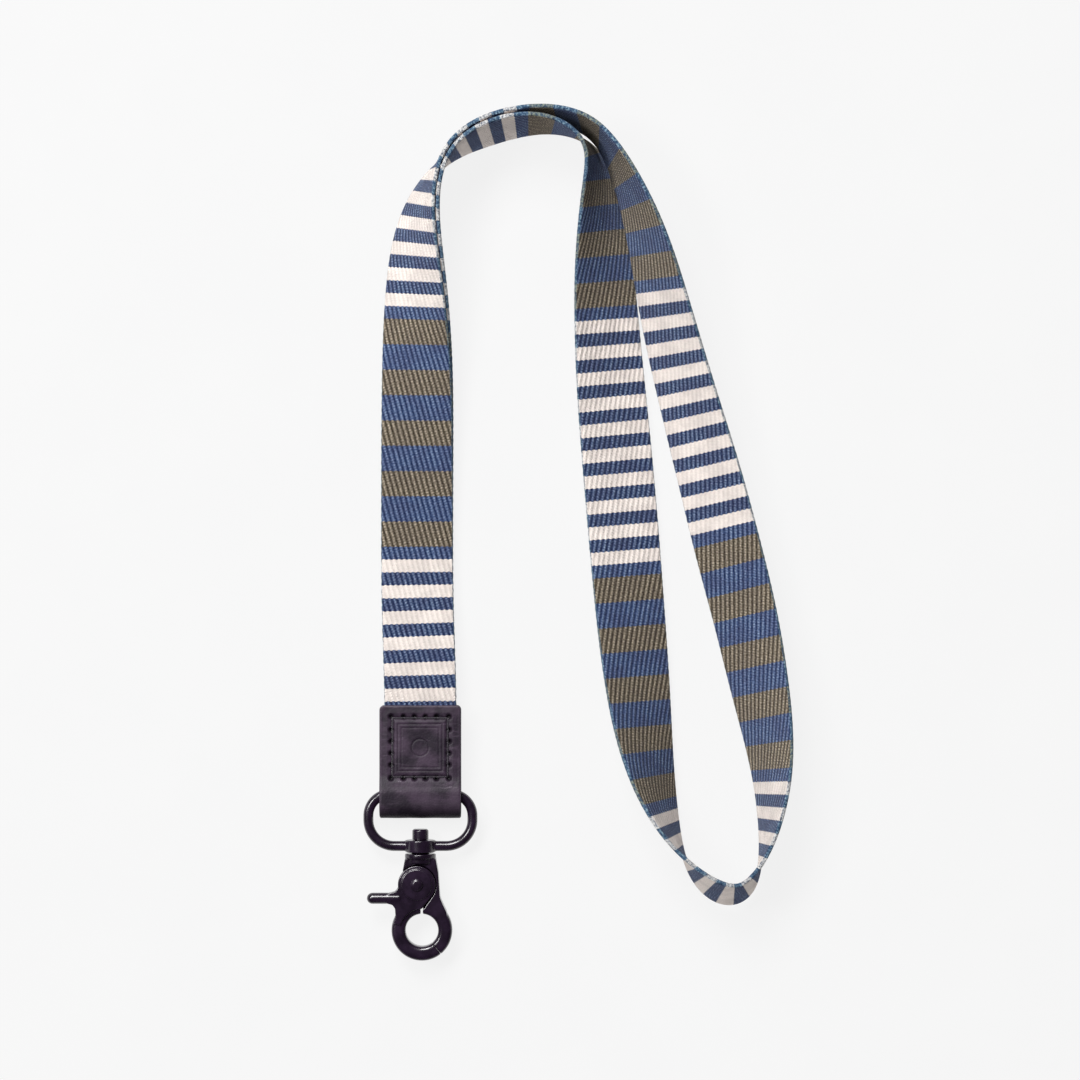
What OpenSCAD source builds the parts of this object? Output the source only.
// Neck lanyard: a loop of striped webbing, a folded leather tab, an oval swivel ring and a trigger hook.
// The loop lies on a table. The ring, the swivel and the hook hang along -Y from the tab.
// The route of the webbing and the hardware are set out from the middle of the ring's upper bar,
// and everything is then moved so that the origin is at the bottom centre of the bounding box.

/* [Webbing] */
// Width of the webbing
strap_w = 20; // [18:0.5:21]
// Thickness of the webbing
strap_t = 1.2; // [1:0.05:1.3]
// Gap between the two strands where they lie against each other in the tab
ply_gap = 0.2; // [0.15:0.05:0.4]
// Gap between the two strands above the tab
free_gap = 0.5; // [0.45:0.05:0.6]

/* [Leather tab] */
// Leather on each side of the webbing
tab_margin = 1.25; // [0.5:0.05:3]
// Length of the tab above the ring's bar
tab_top = 24.6; // [22:0.1:40]
// How far the fold reaches below the ring's bar
fold_drop = 6.7; // [5.8:0.1:7.5]
// Thickness of the leather
leather_t = 1.4; // [1:0.05:1.8]
// Clearance between the leather and the two strands, on each face
slot_gap = 0.05; // [0.05:0.05:0.3]
// Play of the ring's bar in the fold, on each face
fold_play = 1.05; // [0.95:0.05:1.2]
// Radius of the tab's two upper corners
tab_corner_r = 1.3; // [0.5:0.1:3]

/* [Stitching] */
// Width of the stitched square
stitch_w = 15.2; // [12:0.1:17]
// Height of the stitched square
stitch_h = 16.2; // [12:0.1:17]
// Height of its lower row above the ring's bar
stitch_base = 4.9; // [4.4:0.1:7]
// Stitches on each side of the square
stitches = 5; // [3:1:7]
// Diameter of the thread
thread_d = 0.6; // [0.4:0.05:0.8]
// Diameter of the needle holes
needle_hole_d = 0.9; // [0.85:0.05:1.2]
// Depth of the groove that the stitches lie in
groove_d = 0.3; // [0.2:0.05:0.5]
// Width of the outer embossed frame
frame_w = 12.8; // [9:0.1:13]
// Depth of the embossed lines
emboss_d = 0.2; // [0.1:0.05:0.4]

/* [Swivel ring] */
// Diameter of the ring's wire
wire_d = 2.8; // [2.2:0.1:3]
// Play between the tab and each side of the ring
ring_play = 1.75; // [1.4:0.05:3]
// Height of the opening in the ring
ring_inner_h = 11.6; // [11:0.1:16]
// Bend radius of the wire at the two upper corners
top_bend_r = 6; // [5:0.1:6.2]
// Bend radius of the wire at the two lower corners
low_bend_r = 7.2; // [5:0.1:7.2]
// Diameter of the boss that the swivel turns in
boss_d = 8.2; // [7:0.1:8.4]
// Length of the boss
boss_l = 3.4; // [2.8:0.1:5]

/* [Swivel post] */
// Diameter of the post
post_d = 3; // [2.4:0.1:3.6]
// Diameter of the post's head
head_d = 4.5; // [4.2:0.1:5.4]
// Length of the post's head
head_l = 2.9; // [2:0.1:3.4]
// Radial clearance of the post in the boss
post_fit = 0.06; // [0.02:0.01:0.1]
// Play between the boss and what turns against its two ends
end_play = 0.1; // [0.05:0.05:0.2]

/* [Hook] */
// Diameter of the collar
collar_d = 8.6; // [8:0.1:8.6]
// Height of the collar
collar_h = 1.2; // [0.8:0.1:1.6]
// Distance from the hook's upper face down to the rivet
pivot_drop = 8.7; // [8.4:0.1:10]
// Distance from the rivet down to the middle of the eye
eye_drop = 12.7; // [12.2:0.1:15]
// Radius of the eye
eye_r = 4.5; // [3.6:0.1:5.4]
// Width of the two jaws around the eye
jaw_w = 3.9; // [3.2:0.1:4.6]
// Thickness of the jaws
jaw_t = 5; // [4:0.1:6]
// Rounding of the jaws' edges
jaw_round = 1.2; // [0.6:0.1:1.5]
// Thickness of the body at the rivet, from front to back
body_t = 6.2; // [5.6:0.1:6.4]
// Radius of the trigger's round plate
plate_r = 5.2; // [4.8:0.1:5.4]
// Clearance between the trigger and the body
trigger_gap = 0.2; // [0.15:0.05:0.3]
// Diameter of the thumb lever
lever_d = 3.1; // [2.6:0.1:3.3]
// Reach of the thumb lever from the rivet
lever_reach = 13.8; // [11:0.1:16]

/* [Rivet and spring] */
// Diameter of the rivet
rivet_d = 2.4; // [1.8:0.1:3]
// Diameter of the rivet's front head
rivet_head_d = 3.4; // [3.2:0.1:4]
// Radial clearance of the rivet in the trigger
rivet_fit = 0.06; // [0.02:0.01:0.1]
// Diameter of the spring's wire
spring_wire_d = 0.5; // [0.3:0.05:0.6]
// Turns of the spring
spring_turns = 2.25; // [1.25:1:3.25]

/* [Hidden] */
$fn = 48;
eps = 0.02;
leather_col = [0.13, 0.10, 0.14];
metal_col = [0.07, 0.05, 0.08];

// ---- Heights -------------------------------------------------------------
ply_pitch = strap_t + ply_gap;
chain_z = collar_d / 2;                        // the collar rests on the table
slot_half = strap_t + ply_gap / 2 + slot_gap;  // inside of the tab, at the stitches
fold_half = wire_d / 2 + fold_play;            // inside of the tab, around the bar
tab_half = slot_half + leather_t;              // outside of the tab, at the stitches
fold_out = fold_half + leather_t;              // outside of the tab, around the bar

// ---- The route of the webbing --------------------------------------------
// Each point is [x, y, lift, roll]. Lift is the height of the lower edge above the table. Roll is the
// turn of the webbing about its own length: 0 is flat with the outer face up, 90 is on its edge.
// The four points after the first three are placed from the tab's upper end, where the webbing
// leaves the slot flat and then drops to the table.
tab_lift = chain_z + ply_gap / 2;
free_pitch = strap_t + free_gap;
leg_lift = free_pitch;
outgoing = [
    [0, -9, tab_lift, 0], [0, 3, tab_lift, 0], [0, 15, tab_lift, 0],
    [0, tab_top + 5.4, tab_lift, 0], [-0.5, tab_top + 17.4, tab_lift - 0.7, 0],
    [-1, tab_top + 32.4, leg_lift, 0], [-1, tab_top + 51.4, leg_lift, 0],
    [-1, 97, 1.8, 5], [-1, 118, 1.8, 15], [-1.5, 139, 2, 35], [-1.5, 160, 2, 60],
    [5, 176.5, 1, 90], [17, 184, 1, 105], [34, 188, 1, 100]
];
far_side = [
    [47, 185.3, 3, 95], [55, 173.6, 6, 103], [62.5, 155, 5.5, 119], [67.8, 132, 2.8, 133],
    [73.7, 110, 0.7, 140], [80, 88, 0.5, 150], [85, 68, 0.5, 155], [90, 49, 0.5, 150],
    [94, 28.5, 0.5, 140], [98, 6, 0.5, 120], [95.5, -18, 1, 90], [88, -30, 2.5, 65],
    [76, -23.5, 1.5, 75], [67.5, -8, 0.5, 110], [62.5, 10, 0.5, 135], [60, 30, 0.5, 155],
    [58, 51, 0.5, 165], [56.3, 72, 0.5, 170], [54.4, 94, 0.5, 170], [52.2, 118, 0.5, 160],
    [50.8, 144, 0.5, 147], [49.5, 167, 0.5, 119], [47.9, 180.3, 0.5, 97]
];
points_in_tab = 4;
rings_per_span = 5;

function unit(v) = v / norm(v);
function centre_z(p) = p[2] + strap_w / 2 * sin(p[3]) + strap_t / 2 * abs(cos(p[3]));
function lifted(p) = [p[0], p[1], centre_z(p), p[3]];
// Direction across the width and normal to the outer face, for a travel direction and a roll.
function across(t, roll) =
    let (right = unit(cross(t, [0, 0, 1])), up = cross(right, t))
    cos(roll) * right + sin(roll) * up;
function xyz(p) = [p[0], p[1], p[2]];
out_pts = [for (p = concat(outgoing, [far_side[0]])) lifted(p)];
function out_travel(i) = unit(xyz(out_pts[i + 1]) - xyz(out_pts[max(i - 1, 0)]));
// The strand that comes back lies along the inner face of the one that goes out.
function returned(i) =
    let (t = out_travel(i), pitch = i < points_in_tab ? ply_pitch : free_pitch,
         inward = -cross(across(t, out_pts[i][3]), t) * pitch)
    [out_pts[i][0] + inward[0], out_pts[i][1] + inward[1], out_pts[i][2] + inward[2],
     180 - out_pts[i][3]];
route = concat(
    [for (p = outgoing) lifted(p)],
    [for (p = far_side) lifted(p)],
    [for (i = [len(outgoing) - 1 : -1 : 0]) returned(i)]
);
// A uniform cubic B-spline through the route, and its direction of travel.
function blend(a, b, c, d, u) =
    (pow(1 - u, 3) * a + (3 * pow(u, 3) - 6 * u * u + 4) * b
     + (-3 * pow(u, 3) + 3 * u * u + 3 * u + 1) * c + pow(u, 3) * d) / 6;
function slope(a, b, c, d, u) =
    (-pow(1 - u, 2) * a + (3 * u * u - 4 * u) * b + (-3 * u * u + 2 * u + 1) * c + u * u * d) / 2;
spans = len(route) - 3;
ring_count = spans * rings_per_span;
function span_of(k) = min(floor(k / rings_per_span), spans - 1);
function station(k) =
    let (i = span_of(k), u = k / rings_per_span - i)
    blend(route[i], route[i + 1], route[i + 2], route[i + 3], u);
function travel(k) =
    let (i = span_of(k), u = k / rings_per_span - i)
    unit(xyz(slope(route[i], route[i + 1], route[i + 2], route[i + 3], u)));
function ring(k) =
    let (s = station(k), t = travel(k), w = across(t, s[3]) * strap_w / 2,
         n = cross(w, t) * strap_t / strap_w, c = xyz(s))
    [c - w - n, c - n, c + w - n, c + w + n, c + n, c - w + n];
strap_pts = [for (k = [0 : ring_count]) each ring(k)];

// ---- Swivel ring, post and hook positions, down from the ring's upper bar --
tab_w = strap_w + 2 * tab_margin;
ring_half_w = tab_w / 2 + ring_play + wire_d / 2;  // to the middle of the wire
ring_drop = ring_inner_h + wire_d;
boss_near = -ring_drop + boss_l / 2;
boss_far = -ring_drop - boss_l / 2;
hook_y = boss_far - end_play;
pivot_x = -0.95;
pivot_y = -pivot_drop;
eye_x = 0.45;
eye_y = pivot_y - eye_drop;
jaw_out = eye_r + jaw_w;
half_t = body_t / 2;

// ---- Centre of the bounding box in plan ----------------------------------
lever_tip = pivot_x - lever_reach;
hook_low = hook_y + eye_y - jaw_out;
mid_x = (min(-ring_half_w - wire_d / 2, lever_tip, min([for (p = strap_pts) p[0]]))
         + max([for (p = strap_pts) p[0]])) / 2;
mid_y = (min(hook_low, min([for (p = strap_pts) p[1]])) + max([for (p = strap_pts) p[1]])) / 2;
module placed() { translate([-mid_x, -mid_y, 0]) children(); }
// Things on the axis of the ring and the hook.
module chained() { placed() translate([0, 0, chain_z]) children(); }
module hooked() { chained() translate([0, hook_y, 0]) children(); }
// A cylinder along +X or -Y from the current origin.
module bar_x(r, l) { rotate([0, 90, 0]) cylinder(r = r, h = l); }
module bar_down(r, l) { rotate([90, 0, 0]) cylinder(r = r, h = l); }

// ---- Webbing -------------------------------------------------------------
module strap() {
    // Each four-sided patch is two triangles, split the same way on both faces so that they stay parallel.
    m = 6;
    sides = [for (k = [0 : ring_count - 1], j = [0 : m - 1])
        let (a = m * k + j, b = m * k + (j + 1) % m)
        each j < 3 ? [[a, b, b + m], [a, b + m, a + m]] : [[a, b, a + m], [b, b + m, a + m]]];
    last = m * ring_count;
    ends = [[5, 4, 1, 0], [4, 3, 2, 1],
            [last, last + 1, last + 4, last + 5], [last + 1, last + 2, last + 3, last + 4]];
    color([0.36, 0.44, 0.58])
        placed() polyhedron(points = strap_pts, faces = concat(ends, sides), convexity = 12);
}

// ---- Leather tab ---------------------------------------------------------
// Side view of the folded strip, drawn with x up the tab and y through its thickness.
module tab_side() {
    fold_mid = fold_out - fold_drop;
    pocket_top = stitch_base - 1.9;
    difference() {
        union() {
            translate([fold_mid, 0]) circle(r = fold_out);
            translate([fold_mid, -fold_out]) square([pocket_top - fold_mid, 2 * fold_out]);
            polygon([[pocket_top, -fold_out], [stitch_base - 0.7, -tab_half], [tab_top, -tab_half],
                     [tab_top, tab_half], [stitch_base - 0.7, tab_half], [pocket_top, fold_out]]);
        }
        translate([fold_mid, 0]) circle(r = fold_half);
        translate([fold_mid, -fold_half]) square([pocket_top - fold_mid, 2 * fold_half]);
        polygon([[pocket_top - eps, -fold_half], [stitch_base - 0.7, -slot_half],
                 [tab_top + 1, -slot_half], [tab_top + 1, slot_half],
                 [stitch_base - 0.7, slot_half], [pocket_top - eps, fold_half]]);
    }
}
// Plan of the tab, with its two rounded upper corners.
module tab_plan() {
    r = tab_corner_r;
    translate([-tab_w / 2, -fold_drop]) square([tab_w, tab_top + fold_drop - r]);
    translate([r - tab_w / 2, tab_top - r - eps]) square([tab_w - 2 * r, r + eps]);
    for (s = [-1, 1]) translate([s * (tab_w / 2 - r), tab_top - r]) circle(r = r);
}
// A square line of a given width, sunk into the front face.
module sunk_frame(w, h, line, depth) {
    translate([0, stitch_base + stitch_h / 2, tab_half - depth]) linear_extrude(depth + 1) difference() {
        square([w + line, h + line], center = true);
        square([w - line, h - line], center = true);
    }
}
// Needle holes around the stitched square: corner to corner on each side.
function side_steps(n) = [for (i = [0 : n - 1]) i / n];
stitch_ends = [
    for (f = side_steps(stitches)) [stitch_w * (f - 0.5), 0],
    for (f = side_steps(stitches)) [stitch_w / 2, stitch_h * f],
    for (f = side_steps(stitches)) [stitch_w * (0.5 - f), stitch_h],
    for (f = side_steps(stitches)) [-stitch_w / 2, stitch_h * (1 - f)]
];
module leather_tab() {
    color(leather_col) chained() difference() {
        intersection() {
            translate([-tab_w / 2, 0, 0]) rotate([90, 0, 90]) linear_extrude(tab_w) tab_side();
            translate([0, 0, -fold_out]) linear_extrude(2 * fold_out) tab_plan();
        }
        for (p = stitch_ends) translate([p[0], stitch_base + p[1], -fold_out])
            cylinder(d = needle_hole_d, h = 2 * fold_out, $fn = 24);
        sunk_frame(stitch_w, stitch_h, needle_hole_d, groove_d);
        sunk_frame(frame_w, frame_w, 0.5, emboss_d);
        sunk_frame(frame_w - 2.6, frame_w - 2.6, 0.4, emboss_d);
        translate([0, stitch_base + stitch_h / 2, tab_half - emboss_d]) difference() {
            cylinder(r = 2.6, h = 1);
            translate([0, 0, -1]) cylinder(r = 2.1, h = 3);
        }
    }
}

// ---- Threads -------------------------------------------------------------
// One lockstitch thread seen from its own face: a stitch between each two holes, and a leg into each
// hole, as deep as the middle of the two strands, where the two threads lock.
module lockstitch(face_z) {
    r = thread_d / 2;
    count = len(stitch_ends);
    for (i = [0 : count - 1]) {
        a = stitch_ends[i];
        b = stitch_ends[(i + 1) % count];
        gap = b - a;
        translate([a[0], stitch_base + a[1], face_z]) {
            sphere(r = r, $fn = 16);
            translate([0, 0, -face_z]) cylinder(r = r, h = face_z, $fn = 16);
            rotate([0, 90, atan2(gap[1], gap[0])]) cylinder(r = r, h = norm(gap), $fn = 16);
        }
    }
}
module needle_thread() {
    color([0.09, 0.07, 0.10]) chained() lockstitch(tab_half - groove_d + thread_d / 2);
}
module bobbin_thread() {
    color([0.09, 0.07, 0.10]) chained() mirror([0, 0, 1]) lockstitch(tab_half + thread_d / 2);
}

// ---- Swivel ring ---------------------------------------------------------
module wire_bend(at, r, from_angle) {
    translate([at[0], at[1], 0]) rotate([0, 0, from_angle])
        rotate_extrude(angle = 90) translate([r, 0]) circle(d = wire_d);
}
module wire_run(a, b) {
    gap = b - a;
    translate([a[0], a[1], 0]) rotate([0, 90, atan2(gap[1], gap[0])])
        cylinder(d = wire_d, h = norm(gap));
}
module swivel_ring() {
    top_x = ring_half_w - top_bend_r;
    low_x = ring_half_w - low_bend_r;
    low_y = low_bend_r - ring_drop;
    color(metal_col) chained() difference() {
        union() {
            wire_run([-top_x, 0], [top_x, 0]);
            wire_run([-low_x, -ring_drop], [low_x, -ring_drop]);
            for (s = [-1, 1]) wire_run([s * ring_half_w, -top_bend_r], [s * ring_half_w, low_y]);
            wire_bend([top_x, -top_bend_r], top_bend_r, 0);
            wire_bend([-top_x, -top_bend_r], top_bend_r, 90);
            wire_bend([-low_x, low_y], low_bend_r, 180);
            wire_bend([low_x, low_y], low_bend_r, 270);
            translate([0, boss_near, 0]) bar_down(boss_d / 2, boss_l);
        }
        translate([0, boss_near + 1, 0]) bar_down(post_d / 2 + post_fit, boss_l + 2);
    }
}

// ---- Swivel post ---------------------------------------------------------
post_in = 2.8;  // how deep the post is pressed into the hook
module swivel_post() {
    shank = boss_l + 2 * end_play + post_in;
    color(metal_col) chained() translate([0, boss_near + end_play, 0]) {
        rotate([-90, 0, 0]) {
            cylinder(d = head_d, h = head_l - 0.4);
            translate([0, 0, head_l - 0.4]) cylinder(d1 = head_d, d2 = head_d - 0.8, h = 0.4);
        }
        translate([0, eps, 0]) bar_down(post_d / 2, shank + eps);
    }
}

// ---- Hook ----------------------------------------------------------------
// The section of a jaw, as a rounded rectangle whose inner face is the eye's wall.
module jaw_section() {
    r = jaw_round;
    translate([eye_r, r - jaw_t / 2]) square([jaw_w, jaw_t - 2 * r]);
    translate([eye_r + r, -jaw_t / 2]) square([jaw_w - 2 * r, jaw_t]);
    for (x = [eye_r + r, jaw_out - r], y = [r - jaw_t / 2, jaw_t / 2 - r])
        translate([x, y]) circle(r = r, $fn = 32);
}
module jaw(from_angle, to_angle) {
    translate([eye_x, eye_y, 0]) rotate([0, 0, from_angle])
        rotate_extrude(angle = to_angle - from_angle) jaw_section();
}
tip_angle = -51;     // where the tips of the two jaws meet
tip_gap = 1.2;       // angle left between them
notch_x = eye_x - 0.25;  // the slit above the eye, where the two jaws part
shank_top = -collar_h - 0.3;
// The ring around the eye that the flat plates leave to the rounded jaws.
module eye_margin() {
    translate([eye_x, eye_y]) circle(r = eye_r + jaw_round + 0.3);
}
// Plan of the fixed body from the collar down to its jaw.
module body_plan() {
    difference() {
        polygon([[-collar_d / 2 + 0.1, shank_top], [collar_d / 2, shank_top],
                 [5, pivot_y + 3.3], [eye_x + 5, eye_y + 9.3], [eye_x + 5.3, eye_y + 8.4],
                 [eye_x + 6, eye_y + 6.8], [eye_x + 6.8, eye_y + 5.2],
                 [eye_x + (jaw_out - 0.3) * cos(30), eye_y + (jaw_out - 0.3) * sin(30)],
                 [eye_x, eye_y], [notch_x + 0.4, eye_y + eye_r],
                 [notch_x + 0.4, eye_y + jaw_out - 0.8],
                 [pivot_x - 3, pivot_y - 2], [-5, pivot_y + 3]]);
        eye_margin();
    }
}
// Plan of the trigger from its round plate down to the top of its jaw.
module trigger_plan() {
    translate([pivot_x, pivot_y]) circle(r = plate_r);
    difference() {
        polygon([[pivot_x - 5, pivot_y - 0.5], [pivot_x - 6, pivot_y - 1.9],
                 [pivot_x - 8, pivot_y - 2.4], [pivot_x - 8.2, pivot_y - 5.2],
                 [pivot_x - 6.7, pivot_y - 5.6], [pivot_x - 6, pivot_y - 6.6],
                 [eye_x + jaw_out * cos(150), eye_y + jaw_out * sin(150)],
                 [eye_x + (jaw_out - 0.3) * cos(165), eye_y + (jaw_out - 0.3) * sin(165)],
                 [eye_x, eye_y], [notch_x, eye_y + eye_r], [notch_x, eye_y + eye_r + 1.2],
                 [pivot_x + 3.9, pivot_y - 3.4], [pivot_x + 4.9, pivot_y - 1.2]]);
        eye_margin();
    }
}
// Everything of the trigger's outline, widened, that the body has to leave free in front.
module trigger_room() {
    g = trigger_gap;
    translate([pivot_x, pivot_y]) circle(r = plate_r + g);
    polygon([[pivot_x - 7, pivot_y], [-9, eye_y], [notch_x + 0.4, eye_y],
             [notch_x + 0.4, eye_y + eye_r + 1], [pivot_x + 3.9 + g, pivot_y - 3.4 - g],
             [pivot_x + 4.9 + g, pivot_y - 1.2]]);
}
module eye_hole() {
    translate([eye_x, eye_y, -10]) cylinder(r = eye_r, h = 20);
}
module hook_body() {
    back_r = plate_r - 0.3;
    color(metal_col) hooked() difference() {
        union() {
            bar_down(2.4, 0.5);
            translate([0, -0.3, 0]) bar_down(collar_d / 2, collar_h);
            translate([0, shank_top + eps, 0]) bar_down(collar_d / 2 - 0.5, 1.4);
            translate([0, 0, -half_t]) linear_extrude(half_t - trigger_gap / 2) {
                body_plan();
                translate([pivot_x, pivot_y]) circle(r = back_r);
            }
            translate([0, 0, -half_t]) linear_extrude(half_t + jaw_t / 2) difference() {
                body_plan();
                trigger_room();
            }
            difference() {
                jaw(tip_angle + tip_gap / 2, 87);
                translate([0, 0, -trigger_gap / 2]) linear_extrude(jaw_t) trigger_room();
            }
        }
        eye_hole();
        translate([0, 1, 0]) bar_down(post_d / 2 + 0.01, post_in + 1 + end_play);
        translate([pivot_x, pivot_y, -10]) cylinder(d = rivet_d + 0.02, h = 20);
        translate([pivot_x + spring_r, pivot_y, -1.7]) cylinder(r = spring_wire_d, h = 3, $fn = 24);
    }
}

// ---- Trigger: round plate, thumb lever and moving jaw in one piece --------
plate_back = trigger_gap / 2;
plate_front = half_t;
pocket_r = 3.1;
pocket_h = 2;
module trigger_jaw() {
    lever_y = pivot_y - 3.8;
    lever_z = plate_back + lever_d / 2 + 0.15;
    lever_end = lever_reach - lever_d / 2;
    color(metal_col) hooked() difference() {
        union() {
            translate([0, 0, plate_back]) linear_extrude(plate_front - plate_back) trigger_plan();
            translate([pivot_x, pivot_y, plate_front - eps]) cylinder(r = plate_r - 1, h = 0.3 + eps);
            translate([pivot_x - lever_end, lever_y, lever_z]) {
                sphere(d = lever_d);
                bar_x(lever_d / 2, lever_end - 4.6);
            }
            difference() {
                jaw(94, 360 + tip_angle - tip_gap / 2);
                translate([pivot_x, pivot_y, plate_back - 10])
                    cylinder(r = plate_r - 0.3 + trigger_gap, h = 10);
            }
        }
        eye_hole();
        translate([pivot_x, pivot_y, -1]) cylinder(d = rivet_d + 2 * rivet_fit, h = 10);
        translate([pivot_x, pivot_y, plate_back - 1]) cylinder(r = pocket_r, h = pocket_h + 1);
    }
}

// ---- Rivet ---------------------------------------------------------------
module pivot_rivet() {
    front = plate_front + 0.3 + 0.05;
    back_head_h = collar_d / 2 - half_t - 0.1;
    color(metal_col) hooked() translate([pivot_x, pivot_y, 0]) {
        translate([0, 0, -half_t - eps]) cylinder(d = rivet_d, h = half_t + front + 2 * eps);
        translate([0, 0, front]) cylinder(d = rivet_head_d, h = 0.3);
        translate([0, 0, front + 0.3]) cylinder(d1 = rivet_head_d, d2 = rivet_head_d - 1.4, h = 0.4);
        translate([0, 0, -half_t - back_head_h]) cylinder(d = rivet_head_d + 0.6, h = back_head_h);
    }
}

// ---- Return spring: a small torsion spring around the rivet ---------------
spring_r = 2.2;
module return_spring() {
    r = spring_wire_d / 2;
    pitch = 0.55;
    steps = 20;
    low_z = plate_back + 0.05 + r;
    coil = [for (k = [0 : floor(spring_turns * steps)])
        let (a = 360 * k / steps) [spring_r * cos(a), spring_r * sin(a), low_z + pitch * k / steps]];
    end_a = 360 * spring_turns;
    top = coil[len(coil) - 1];
    path = concat([[spring_r, 0, -1.5], [spring_r, 0, low_z - 0.4]], coil,
                  [top + [0.6 * cos(end_a), 0.6 * sin(end_a), 0]]);
    sides = 6;
    count = len(path);
    function heading(k) = unit(path[min(k + 1, count - 1)] - path[max(k - 1, 0)]);
    function out(k) = unit(cross(heading(k), [0.3, 0.2, 1]));
    points = [for (k = [0 : count - 1], j = [0 : sides - 1])
        let (t = heading(k), u = out(k), v = cross(t, u), a = 360 * j / sides)
        path[k] + r * (cos(a) * u + sin(a) * v)];
    skin = [for (k = [0 : count - 2], j = [0 : sides - 1])
        [sides * k + j, sides * k + (j + 1) % sides,
         sides * (k + 1) + (j + 1) % sides, sides * (k + 1) + j]];
    caps = [[for (j = [sides - 1 : -1 : 0]) j], [for (j = [0 : sides - 1]) sides * (count - 1) + j]];
    color([0.55, 0.56, 0.60]) hooked() translate([pivot_x, pivot_y, 0])
        polyhedron(points = points, faces = concat(caps, skin), convexity = 8);
}

strap();
leather_tab();
needle_thread();
bobbin_thread();
swivel_ring();
swivel_post();
hook_body();
trigger_jaw();
pivot_rivet();
return_spring();
